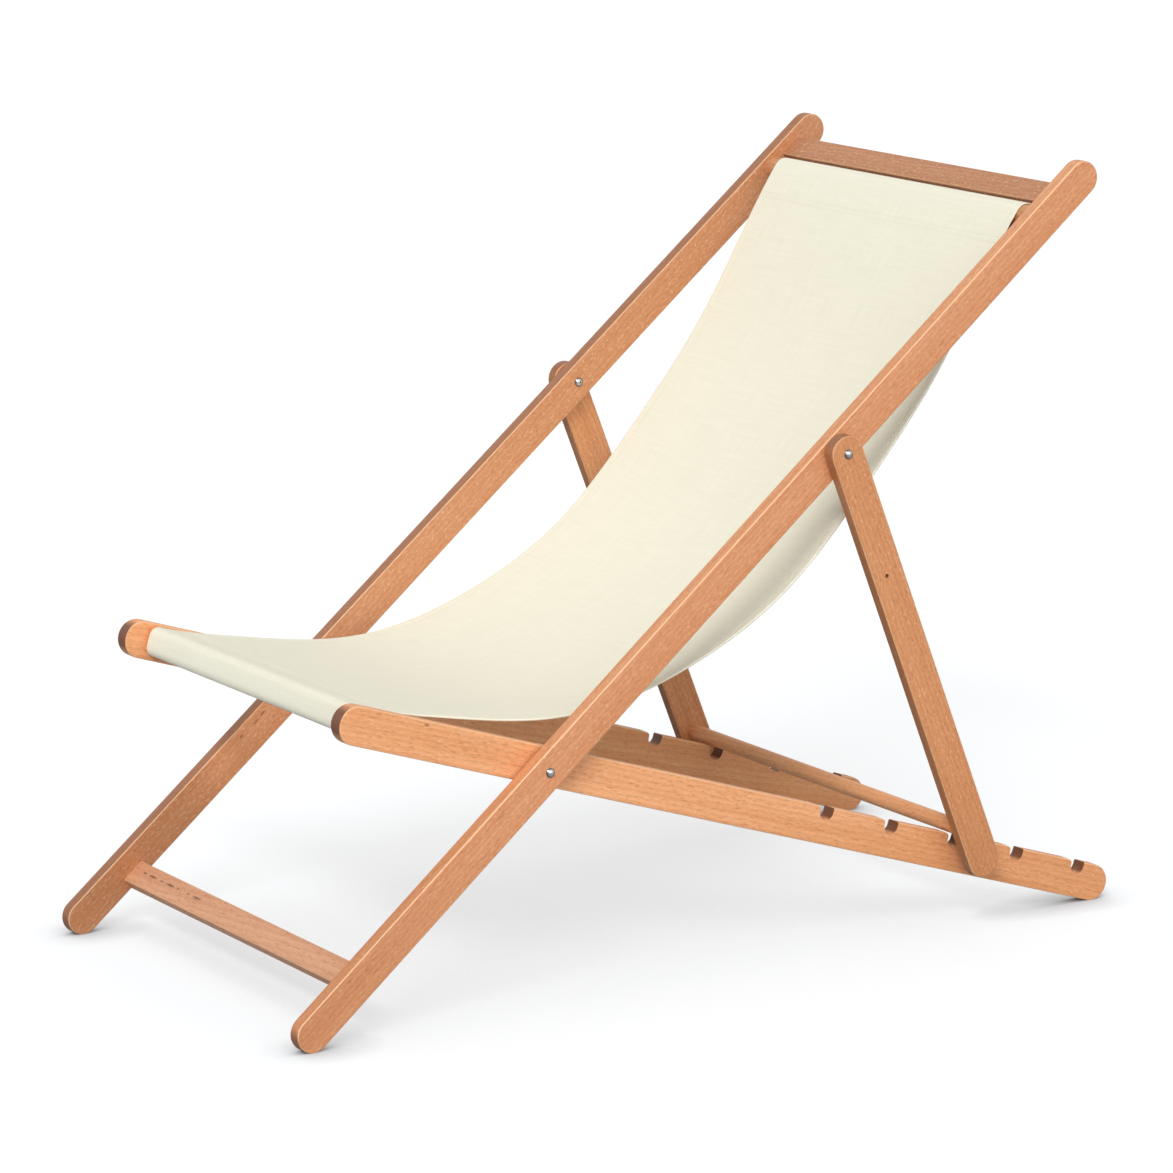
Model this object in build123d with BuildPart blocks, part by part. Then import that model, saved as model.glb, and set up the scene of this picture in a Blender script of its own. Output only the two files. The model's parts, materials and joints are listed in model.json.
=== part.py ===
from build123d import *
import os
from math import asin, atan2, cos, degrees, hypot, radians, sin, sqrt

os.makedirs("parts", exist_ok=True)

# A folding wooden deck chair with a canvas sling, in millimetres.
# +Z is up, the sitter faces -Y, and +X is the sitter's left.
# The origin is on the floor under the middle of the chair.

# Stance: lean of the back rails and dip of the seat rails, in degrees.
back_lean = 39.7
seat_dip = 18.0
pivot_height = 259.2
worn_flat = 0.6

# Rail sections and the widths they stand at.
back_width = 542.0
back_rail_height = 39.0
back_rail_thick = 17.0
seat_rail_height = 42.0
seat_rail_thick = 19.0
prop_leg_width = 41.0
prop_leg_thick = 15.0
seat_gap = 5.0
prop_gap = 3.0
edge_round = 2.0

# Reaches from the seat pivot, along each rail, to the middles of the round ends.
back_above = 907.0
seat_front = 234.0
prop_pivot_up = 480.0
seat_pivot_drop = 3.5
prop_tail = 35.0

# Notches in the seat rails: round floor, upright rear wall, flared front lip.
notch_count = 5
notch_rear_inset = 28.34
notch_pitch = 92.3
notch_radius = 9.2
notch_wall = 0.7
notch_flare = 5.0
notch_over = 3.0

# The prop's cross bar, over the notch that it holds, clear of the rail tops.
held_notch = 3
bar_diameter = 18.0
bar_clear = 0.4
bar_forward = 5.5
bar_tenon = 13.0
bar_tenon_length = 9.0

# A small drilled hole in each prop leg.
leg_hole = 4.5
leg_hole_down = 150.0
leg_hole_forward = 2.5
leg_hole_depth = 8.0

# Cross boards: head and foot rail of the back frame, front rail of the seat frame.
board_width = 30.0
board_thick = 16.0
board_round = 2.5
head_rail_inset = 32.5
head_rail_forward = -1.0
foot_rail_down = 298.5
foot_rail_forward = -12.3
front_rail_inset = 15.0
front_rail_lift = 2.0
front_rail_height = 30.0
front_rail_thick = 17.0
front_rail_round = 8.0

# Round bar that carries the head of the sling, with a gap between board and cloth.
sling_head_gap = 3.0
sling_bar_diameter = 27.0
sling_tenon = 16.0
sling_tenon_length = 10.0

# Glued dowels, two at each end of a cross board.
dowel = 8.0
dowel_depth = 10.0
dowel_pitch = 14.0
front_dowel_pitch = 17.0

# Pivots: a domed sleeve nut from outside, a domed screw from inside, a spacer.
sleeve_diameter = 8.0
sleeve_floor = 2.0
screw_diameter = 6.0
head_diameter = 10.5
head_height = 3.2
head_lip = 0.8
socket_across = 3.0
socket_depth = 1.6
spacer_diameter = 22.0

# Nails that lock the bar's tenons in the prop legs.
nail = 2.5
nail_length = 22.0

# Canvas sling: cloth, sewn pockets and the line it hangs in.
cloth_thick = 1.4
pocket_thick = 2.0
sling_front_gap = 5.0
sling_head_inset = 16.0
hang_high_up = 640.0
hang_high_back = 51.0
hang_mid_up = 500.0
hang_mid_back = 79.0
hang_low_up = 350.0
hang_low_back = 93.5
hang_turn_up = 209.0
hang_turn_back = 67.0
seat_low_behind = 60.0
seat_low_over = 47.5
seat_fore_ahead = 113.0
seat_fore_over = 67.5

# Fits, all per side: in fixed wood, on turning wood, between faces that turn.
dowel_fit = 0.05
tenon_fit = 0.1
end_gap = 0.5
sleeve_fit = 0.04
turning_fit = 0.08
thread_fit = 0.03
face_gap = 0.2
cloth_gap = 0.3

# Derived widths, inner and outer faces on the left side.
back_outer = back_width / 2
back_inner = back_outer - back_rail_thick
seat_outer = back_inner - seat_gap
seat_inner = seat_outer - seat_rail_thick
prop_inner = back_outer + prop_gap
prop_outer = prop_inner + prop_leg_thick
sling_half_front = seat_inner - sling_front_gap
sling_half_head = back_inner - sling_head_inset

# Derived stance: the round ends reach the floor with a small worn flat.
back_sin = sin(radians(back_lean))
back_cos = cos(radians(back_lean))
seat_sin = sin(radians(seat_dip))
seat_cos = cos(radians(seat_dip))
back_below = (pivot_height - back_rail_height / 2 + worn_flat) / back_sin
seat_floor_drop = pivot_height + seat_pivot_drop * seat_cos - seat_rail_height / 2
seat_behind = (seat_floor_drop + worn_flat) / seat_sin
front_reach = back_below * back_cos + back_rail_height / 2
rear_reach = seat_behind * seat_cos + seat_pivot_drop * seat_sin + seat_rail_height / 2
pivot_y = (front_reach - rear_reach) / 2

# Derived places of the cross boards and of the sling bar.
pocket_out = cloth_gap + pocket_thick
front_rail_reach = seat_front - front_rail_inset
front_rail_over = seat_pivot_drop + front_rail_lift
head_rail_up = back_above - head_rail_inset
sling_bar_room = sling_bar_diameter / 2 + pocket_out + sling_head_gap
sling_bar_up = head_rail_up - board_width / 2 - sling_bar_room

# Derived prop: from its pivot on the back rail to the bar over the held notch.
seat_top = seat_pivot_drop + seat_rail_height / 2
notch_last = seat_behind - notch_rear_inset
bar_along = notch_last - (notch_count - held_notch) * notch_pitch - bar_forward
bar_over = seat_top + bar_clear + bar_diameter / 2
bar_y = bar_along * seat_cos + bar_over * seat_sin
bar_z = bar_over * seat_cos - bar_along * seat_sin
prop_run = bar_y - prop_pivot_up * back_cos
prop_drop = prop_pivot_up * back_sin - bar_z
prop_reach = hypot(prop_run, prop_drop)
prop_lean = degrees(atan2(prop_drop, prop_run))
prop_length = prop_reach + prop_tail
prop_y = pivot_y + prop_pivot_up * back_cos
prop_z = pivot_height + prop_pivot_up * back_sin

back_along = (0, back_cos, back_sin)
seat_along = (0, seat_cos, -seat_sin)
prop_along = (0, cos(radians(prop_lean)), -sin(radians(prop_lean)))


def back_plane(x):
    """Side plane of the back frame at x: up along the rail, then to the front."""
    return Plane(origin=(x, pivot_y, pivot_height), x_dir=back_along, z_dir=(1, 0, 0))


def seat_plane(x):
    """Side plane of the seat frame at x: rearward along the rail, then up."""
    return Plane(origin=(x, pivot_y, pivot_height), x_dir=seat_along, z_dir=(1, 0, 0))


def prop_plane(x):
    """Side plane of the prop at x: down along the leg, then to the rear."""
    return Plane(origin=(x, prop_y, prop_z), x_dir=prop_along, z_dir=(1, 0, 0))


def level_plane(x):
    """Upright side plane at x with its origin in the seat pivot."""
    return Plane(origin=(x, pivot_y, pivot_height), x_dir=(0, 1, 0), z_dir=(1, 0, 0))


head_dowels = [
    (head_rail_up - dowel_pitch / 2, head_rail_forward),
    (head_rail_up + dowel_pitch / 2, head_rail_forward),
]
foot_dowels = [
    (-foot_rail_down - dowel_pitch / 2, foot_rail_forward),
    (-foot_rail_down + dowel_pitch / 2, foot_rail_forward),
]
front_dowels = [
    (-front_rail_reach, front_rail_over - front_dowel_pitch / 2),
    (-front_rail_reach, front_rail_over + front_dowel_pitch / 2),
]
dowel_bore = dowel / 2 + dowel_fit
dowel_reach = dowel_depth - end_gap

# Back frame: two long rails with full-round ends.
with BuildPart() as long_rail_left:
    with BuildSketch(back_plane(back_inner)):
        with Locations(((back_above - back_below) / 2, 0)):
            SlotCenterToCenter(back_above + back_below, back_rail_height)
    extrude(amount=back_rail_thick)
    fillet(long_rail_left.faces().filter_by(Axis.X).edges(), radius=edge_round)
    with BuildSketch(back_plane(back_inner)):
        with Locations((0, 0), (prop_pivot_up, 0)):
            Circle(sleeve_diameter / 2 + sleeve_fit)
    extrude(amount=back_rail_thick, mode=Mode.SUBTRACT)
    with BuildSketch(back_plane(back_inner)):
        with Locations(*head_dowels, *foot_dowels):
            Circle(dowel_bore)
    extrude(amount=dowel_depth, mode=Mode.SUBTRACT)
    with BuildSketch(back_plane(back_inner)):
        with Locations((sling_bar_up, 0)):
            Circle(sling_tenon / 2 + tenon_fit)
    extrude(amount=sling_tenon_length + end_gap, mode=Mode.SUBTRACT)
    split(bisect_by=Plane.XY, keep=Keep.TOP)
long_rail_left.part.label = "long_rail_left"
export_step(long_rail_left.part, "parts/long_rail_left.step")

with BuildPart() as long_rail_right:
    mirror(long_rail_left.part, about=Plane.YZ)
long_rail_right.part.label = "long_rail_right"
export_step(long_rail_right.part, "parts/long_rail_right.step")

# Head rail, a flat board with eased edges.
with BuildPart() as head_rail:
    with BuildSketch(back_plane(-back_inner)):
        with Locations((head_rail_up, head_rail_forward)):
            RectangleRounded(board_width, board_thick, board_round)
    extrude(amount=2 * back_inner)
    with BuildSketch(back_plane(-back_inner), back_plane(back_inner - dowel_depth)):
        with Locations(*head_dowels):
            Circle(dowel_bore)
    extrude(amount=dowel_depth, mode=Mode.SUBTRACT)
head_rail.part.label = "head_rail"
export_step(head_rail.part, "parts/head_rail.step")

with BuildPart() as head_rail_dowels:
    with BuildSketch(back_plane(-back_inner - dowel_reach), back_plane(back_inner - dowel_reach)):
        with Locations(*head_dowels):
            Circle(dowel / 2)
    extrude(amount=2 * dowel_reach)
head_rail_dowels.part.label = "head_rail_dowels"
export_step(head_rail_dowels.part, "parts/head_rail_dowels.step")

# Foot rail, the same board near the floor.
with BuildPart() as foot_rail:
    with BuildSketch(back_plane(-back_inner)):
        with Locations((-foot_rail_down, foot_rail_forward)):
            RectangleRounded(board_width, board_thick, board_round)
    extrude(amount=2 * back_inner)
    with BuildSketch(back_plane(-back_inner), back_plane(back_inner - dowel_depth)):
        with Locations(*foot_dowels):
            Circle(dowel_bore)
    extrude(amount=dowel_depth, mode=Mode.SUBTRACT)
foot_rail.part.label = "foot_rail"
export_step(foot_rail.part, "parts/foot_rail.step")

with BuildPart() as foot_rail_dowels:
    with BuildSketch(back_plane(-back_inner - dowel_reach), back_plane(back_inner - dowel_reach)):
        with Locations(*foot_dowels):
            Circle(dowel / 2)
    extrude(amount=2 * dowel_reach)
foot_rail_dowels.part.label = "foot_rail_dowels"
export_step(foot_rail_dowels.part, "parts/foot_rail_dowels.step")

# Sling bar, turned down to a tenon at each end.
with BuildPart() as sling_bar:
    with BuildSketch(back_plane(-back_inner)):
        with Locations((sling_bar_up, 0)):
            Circle(sling_bar_diameter / 2)
    extrude(amount=2 * back_inner)
    with BuildSketch(back_plane(-back_inner - sling_tenon_length)):
        with Locations((sling_bar_up, 0)):
            Circle(sling_tenon / 2)
    extrude(amount=2 * (back_inner + sling_tenon_length))
sling_bar.part.label = "sling_bar"
export_step(sling_bar.part, "parts/sling_bar.step")

# One notch, drawn with its origin on the rail's top edge.
notch_floor = notch_wall + notch_flare
with BuildSketch() as notch:
    with BuildLine():
        Line((notch_radius, notch_over), (notch_radius, -notch_floor))
        CenterArc((0, -notch_floor), notch_radius, 0, -180)
        Line((-notch_radius, -notch_floor), (-notch_radius, -notch_flare))
        CenterArc((-notch_radius - notch_flare, -notch_flare), notch_flare, 0, 90)
        Line((-notch_radius - notch_flare, 0), (-notch_radius - notch_flare, notch_over))
        Line((-notch_radius - notch_flare, notch_over), (notch_radius, notch_over))
    make_face()

# Seat frame: two notched rails inside the back frame.
with BuildPart() as seat_rail_left:
    with BuildSketch(seat_plane(seat_inner)):
        with Locations(((seat_behind - seat_front) / 2, seat_pivot_drop)):
            SlotCenterToCenter(seat_behind + seat_front, seat_rail_height)
    extrude(amount=seat_rail_thick)
    fillet(seat_rail_left.faces().filter_by(Axis.X).edges(), radius=edge_round)
    with BuildSketch(seat_plane(seat_inner)):
        with Locations(*[(notch_last - k * notch_pitch, seat_top) for k in range(notch_count)]):
            add(notch.sketch)
    extrude(amount=seat_rail_thick, mode=Mode.SUBTRACT)
    with BuildSketch(seat_plane(seat_inner)):
        Circle(sleeve_diameter / 2 + turning_fit)
    extrude(amount=seat_rail_thick, mode=Mode.SUBTRACT)
    with BuildSketch(seat_plane(seat_inner)):
        with Locations(*front_dowels):
            Circle(dowel_bore)
    extrude(amount=dowel_depth, mode=Mode.SUBTRACT)
    split(bisect_by=Plane.XY, keep=Keep.TOP)
seat_rail_left.part.label = "seat_rail_left"
export_step(seat_rail_left.part, "parts/seat_rail_left.step")

with BuildPart() as seat_rail_right:
    mirror(seat_rail_left.part, about=Plane.YZ)
seat_rail_right.part.label = "seat_rail_right"
export_step(seat_rail_right.part, "parts/seat_rail_right.step")

# Front rail of the seat, the board that the sling is wrapped on.
with BuildPart() as front_rail:
    with BuildSketch(seat_plane(-seat_inner)):
        with Locations((-front_rail_reach, front_rail_over)):
            RectangleRounded(front_rail_thick, front_rail_height, front_rail_round)
    extrude(amount=2 * seat_inner)
    with BuildSketch(seat_plane(-seat_inner), seat_plane(seat_inner - dowel_depth)):
        with Locations(*front_dowels):
            Circle(dowel_bore)
    extrude(amount=dowel_depth, mode=Mode.SUBTRACT)
front_rail.part.label = "front_rail"
export_step(front_rail.part, "parts/front_rail.step")

with BuildPart() as front_rail_dowels:
    with BuildSketch(seat_plane(-seat_inner - dowel_reach), seat_plane(seat_inner - dowel_reach)):
        with Locations(*front_dowels):
            Circle(dowel / 2)
    extrude(amount=2 * dowel_reach)
front_rail_dowels.part.label = "front_rail_dowels"
export_step(front_rail_dowels.part, "parts/front_rail_dowels.step")

# Prop: two flat legs outside the back frame and a round cross bar.
nail_x = prop_inner + bar_tenon_length / 2
nail_start = prop_leg_width / 2 - nail_length
with BuildPart() as prop_leg_left:
    with BuildSketch(prop_plane(prop_inner)):
        with Locations((prop_length / 2, 0)):
            SlotCenterToCenter(prop_length, prop_leg_width)
    extrude(amount=prop_leg_thick)
    fillet(prop_leg_left.faces().filter_by(Axis.X).edges(), radius=edge_round)
    with BuildSketch(prop_plane(prop_inner)):
        Circle(sleeve_diameter / 2 + turning_fit)
    extrude(amount=prop_leg_thick, mode=Mode.SUBTRACT)
    with BuildSketch(prop_plane(prop_inner)):
        with Locations((prop_reach, 0)):
            Circle(bar_tenon / 2 + tenon_fit)
    extrude(amount=bar_tenon_length + end_gap, mode=Mode.SUBTRACT)
    with BuildSketch(prop_plane(prop_outer)):
        with Locations((leg_hole_down, -leg_hole_forward)):
            Circle(leg_hole / 2)
    extrude(amount=-leg_hole_depth, mode=Mode.SUBTRACT)
    with BuildSketch(Plane(prop_plane(nail_x).from_local_coords((prop_reach, 0, 0)),
                           x_dir=(1, 0, 0), z_dir=prop_plane(0).y_dir)):
        Circle(nail / 2 + thread_fit)
    extrude(amount=prop_leg_width, mode=Mode.SUBTRACT)
prop_leg_left.part.label = "prop_leg_left"
export_step(prop_leg_left.part, "parts/prop_leg_left.step")

with BuildPart() as prop_leg_right:
    mirror(prop_leg_left.part, about=Plane.YZ)
prop_leg_right.part.label = "prop_leg_right"
export_step(prop_leg_right.part, "parts/prop_leg_right.step")

nail_left = Plane(
    prop_plane(nail_x).from_local_coords((prop_reach, nail_start, 0)),
    x_dir=(1, 0, 0),
    z_dir=prop_plane(0).y_dir,
)
nail_right = Plane(
    prop_plane(-nail_x).from_local_coords((prop_reach, nail_start, 0)),
    x_dir=(1, 0, 0),
    z_dir=prop_plane(0).y_dir,
)
with BuildPart() as prop_bar:
    with BuildSketch(prop_plane(-prop_inner)):
        with Locations((prop_reach, 0)):
            Circle(bar_diameter / 2)
    extrude(amount=2 * prop_inner)
    with BuildSketch(prop_plane(-prop_inner - bar_tenon_length)):
        with Locations((prop_reach, 0)):
            Circle(bar_tenon / 2)
    extrude(amount=2 * (prop_inner + bar_tenon_length))
    with BuildSketch(nail_left, nail_right):
        Circle(nail / 2 + thread_fit)
    extrude(amount=nail_length, mode=Mode.SUBTRACT)
prop_bar.part.label = "prop_bar"
export_step(prop_bar.part, "parts/prop_bar.step")

with BuildPart() as prop_bar_nails:
    with BuildSketch(nail_left.offset(end_gap), nail_right.offset(end_gap)):
        Circle(nail / 2)
    extrude(amount=nail_length - 2 * end_gap)
prop_bar_nails.part.label = "prop_bar_nails"
export_step(prop_bar_nails.part, "parts/prop_bar_nails.step")

# Pivot hardware, drawn as half profiles in the plane of each pivot's axis.
bore = screw_diameter / 2 + thread_fit
barrel = sleeve_diameter / 2
cap = head_diameter / 2
dome = head_height - head_lip
dome_radius = (cap * cap + dome * dome) / (2 * dome)


def axis_plane(y, z):
    """Plane through a pivot's axis: x across the chair, y outward from the axis."""
    return Plane(origin=(0, y, z), x_dir=(1, 0, 0), z_dir=(0, -1, 0))


def pivot_sleeve(y, z, inner, outer):
    """Sleeve nut on the left: domed head on the outer face, blind bore from inside."""
    with BuildPart() as sleeve:
        with BuildSketch(axis_plane(y, z)):
            with BuildLine():
                Line((inner, bore), (outer - sleeve_floor, bore))
                Line((outer - sleeve_floor, bore), (outer - sleeve_floor, 0))
                Line((outer - sleeve_floor, 0), (outer + head_height, 0))
                RadiusArc((outer + head_height, 0), (outer + head_lip, cap), -dome_radius)
                Line((outer + head_lip, cap), (outer, cap))
                Line((outer, cap), (outer, barrel))
                Line((outer, barrel), (inner, barrel))
                Line((inner, barrel), (inner, bore))
            make_face()
        revolve(axis=Axis((0, y, z), (1, 0, 0)))
        mirror(about=Plane.YZ)
    return sleeve.part


def pivot_screw(y, z, inner, outer):
    """Screw on the left: domed head with a hex socket on the inner face, and shank."""
    with BuildPart() as screw:
        with BuildSketch(axis_plane(y, z)):
            with BuildLine():
                Line((inner - head_height, 0), (outer, 0))
                Line((outer, 0), (outer, screw_diameter / 2))
                Line((outer, screw_diameter / 2), (inner, screw_diameter / 2))
                Line((inner, screw_diameter / 2), (inner, cap))
                Line((inner, cap), (inner - head_lip, cap))
                RadiusArc((inner - head_lip, cap), (inner - head_height, 0), -dome_radius)
            make_face()
        revolve(axis=Axis((0, y, z), (1, 0, 0)))
        with BuildSketch(Plane(origin=(inner - head_height, y, z), z_dir=(1, 0, 0))):
            RegularPolygon(socket_across / 2, 6, major_radius=False)
        extrude(amount=socket_depth, mode=Mode.SUBTRACT)
        mirror(about=Plane.YZ)
    return screw.part


def pivot_spacer(y, z, start, thick):
    """Spacer ring on the left, from start outward, round the sleeve."""
    with BuildPart() as spacer:
        with BuildSketch(Plane(origin=(start, y, z), z_dir=(1, 0, 0))):
            Circle(spacer_diameter / 2)
            Circle(barrel + sleeve_fit, mode=Mode.SUBTRACT)
        extrude(amount=thick)
        mirror(about=Plane.YZ)
    return spacer.part


seat_pivot_sleeves = pivot_sleeve(pivot_y, pivot_height, seat_inner - face_gap, back_outer)
seat_pivot_sleeves.label = "seat_pivot_sleeves"
export_step(seat_pivot_sleeves, "parts/seat_pivot_sleeves.step")

seat_screw_end = back_outer - sleeve_floor - end_gap
seat_pivot_screws = pivot_screw(pivot_y, pivot_height, seat_inner - face_gap, seat_screw_end)
seat_pivot_screws.label = "seat_pivot_screws"
export_step(seat_pivot_screws, "parts/seat_pivot_screws.step")

seat_pivot_spacers = pivot_spacer(pivot_y, pivot_height, seat_outer + face_gap, seat_gap - face_gap)
seat_pivot_spacers.label = "seat_pivot_spacers"
export_step(seat_pivot_spacers, "parts/seat_pivot_spacers.step")

prop_pivot_sleeves = pivot_sleeve(prop_y, prop_z, back_inner, prop_outer + face_gap)
prop_pivot_sleeves.label = "prop_pivot_sleeves"
export_step(prop_pivot_sleeves, "parts/prop_pivot_sleeves.step")

prop_screw_end = prop_outer + face_gap - sleeve_floor - end_gap
prop_pivot_screws = pivot_screw(prop_y, prop_z, back_inner, prop_screw_end)
prop_pivot_screws.label = "prop_pivot_screws"
export_step(prop_pivot_screws, "parts/prop_pivot_screws.step")

prop_pivot_spacers = pivot_spacer(prop_y, prop_z, back_outer, prop_gap - face_gap)
prop_pivot_spacers.label = "prop_pivot_spacers"
export_step(prop_pivot_spacers, "parts/prop_pivot_spacers.step")


def from_back(up, forward):
    """Upright side coordinates of a point given along the back rails."""
    return (up * back_cos - forward * back_sin, up * back_sin + forward * back_cos)


def from_seat(behind, over):
    """Upright side coordinates of a point given along the seat rails."""
    return (behind * seat_cos + over * seat_sin, over * seat_cos - behind * seat_sin)


# Sling: a pocket round the sling bar, the hanging cloth and a pocket round the front rail.
pocket_mid = sling_bar_diameter / 2 + cloth_gap + pocket_thick / 2
leave_angle = asin(hang_high_back / (sling_bar_up - hang_high_up))
leave_point = from_back(
    sling_bar_up - pocket_mid * sin(leave_angle), pocket_mid * cos(leave_angle)
)
wrap_over = front_rail_over + front_rail_height / 2 + cloth_gap + pocket_thick / 2
wrap_point = from_seat(-front_rail_reach + front_rail_thick / 4, wrap_over)
with BuildLine() as hang:
    Spline(
        leave_point,
        from_back(hang_high_up, -hang_high_back),
        from_back(hang_mid_up, -hang_mid_back),
        from_back(hang_low_up, -hang_low_back),
        from_back(hang_turn_up, -hang_turn_back),
        (seat_low_behind, seat_low_over),
        (-seat_fore_ahead, seat_fore_over),
        wrap_point,
        tangents=(from_back(-cos(leave_angle), -sin(leave_angle)), from_seat(-1, 0)),
    )
hang_line = hang.line.edges()[0]
hang_steps = 26
upper_side = []
lower_side = []
for k in range(hang_steps + 1):
    spot = hang_line @ (k / hang_steps)
    way = hang_line % (k / hang_steps)
    upper_side.append((spot.X + way.Y * cloth_thick / 2, spot.Y - way.X * cloth_thick / 2))
    lower_side.append((spot.X - way.Y * cloth_thick / 2, spot.Y + way.X * cloth_thick / 2))
bar_centre = from_back(sling_bar_up, 0)
rail_centre = from_seat(-front_rail_reach, front_rail_over)
rail_thick_out = front_rail_thick + 2 * pocket_out
rail_height_out = front_rail_height + 2 * pocket_out
rail_thick_in = front_rail_thick + 2 * cloth_gap
rail_height_in = front_rail_height + 2 * cloth_gap
with BuildPart() as sling:
    with BuildSketch(level_plane(-sling_half_head)):
        with BuildLine():
            Spline(*upper_side)
            Line(upper_side[-1], lower_side[-1])
            Spline(*lower_side)
            Line(lower_side[0], upper_side[0])
        make_face()
        with Locations(bar_centre):
            Circle(sling_bar_diameter / 2 + pocket_out)
            Circle(sling_bar_diameter / 2 + cloth_gap, mode=Mode.SUBTRACT)
        with Locations(Location(rail_centre, -seat_dip)):
            RectangleRounded(rail_thick_out, rail_height_out, front_rail_round + pocket_out)
            RectangleRounded(
                rail_thick_in, rail_height_in, front_rail_round + cloth_gap, mode=Mode.SUBTRACT
            )
    extrude(amount=2 * sling_half_head)
    with BuildSketch():
        with BuildLine():
            Polyline(
                (sling_half_front, pivot_y - seat_front),
                (sling_half_head, pivot_y + back_above),
                (-sling_half_head, pivot_y + back_above),
                (-sling_half_front, pivot_y - seat_front),
                close=True,
            )
        make_face()
    extrude(amount=pivot_height + back_above, mode=Mode.INTERSECT)
sling.part.label = "sling"
export_step(sling.part, "parts/sling.step")
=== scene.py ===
import json
from math import asin, atan2, cos, pi, radians, sin

import bpy
import numpy as np
from mathutils import Matrix


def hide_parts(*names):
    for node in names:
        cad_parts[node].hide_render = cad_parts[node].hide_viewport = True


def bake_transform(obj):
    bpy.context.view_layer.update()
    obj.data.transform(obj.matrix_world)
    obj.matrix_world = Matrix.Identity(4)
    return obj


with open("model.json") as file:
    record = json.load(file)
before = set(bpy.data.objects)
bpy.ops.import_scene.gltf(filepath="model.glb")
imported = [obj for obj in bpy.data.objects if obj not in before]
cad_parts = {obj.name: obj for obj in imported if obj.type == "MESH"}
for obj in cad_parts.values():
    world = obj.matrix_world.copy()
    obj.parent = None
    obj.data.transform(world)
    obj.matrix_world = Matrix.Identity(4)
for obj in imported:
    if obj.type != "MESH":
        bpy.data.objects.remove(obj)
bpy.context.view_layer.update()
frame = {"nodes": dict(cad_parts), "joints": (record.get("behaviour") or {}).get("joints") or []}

# ---------------------------------------------------------------- long rails
# Two planed hardwood rails with full-round ends, rubbed with a warm oil. They carry the
# head rail, the sling bar and the foot rail, and both pivots are drilled through them.

BACK_LEAN = radians(39.7)


def linear(code):
    """Turns an sRGB hex colour into linear red, green, blue and an alpha of 1."""
    part = np.array([int(code[k:k + 2], 16) for k in (1, 3, 5)]) / 255
    curve = np.where(part <= 0.04045, part / 12.92, ((part + 0.055) / 1.055) ** 2.4)
    return (*(float(v) for v in curve), 1.0)


def put(tree, kind, sockets=None, **settings):
    """Adds one node. Settings are its properties, sockets its inputs: a value or a link."""
    node = tree.nodes.new(kind)
    for name, value in settings.items():
        setattr(node, name, value)
    for name, value in (sockets or {}).items():
        if isinstance(value, bpy.types.NodeSocket):
            tree.links.new(value, node.inputs[name])
        else:
            node.inputs[name].default_value = value
    return node


def blank(name):
    """Makes a material with an empty node tree, and gives back both."""
    material = bpy.data.materials.new(name)
    material.use_nodes = True
    material.node_tree.nodes.clear()
    return material, material.node_tree


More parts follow.
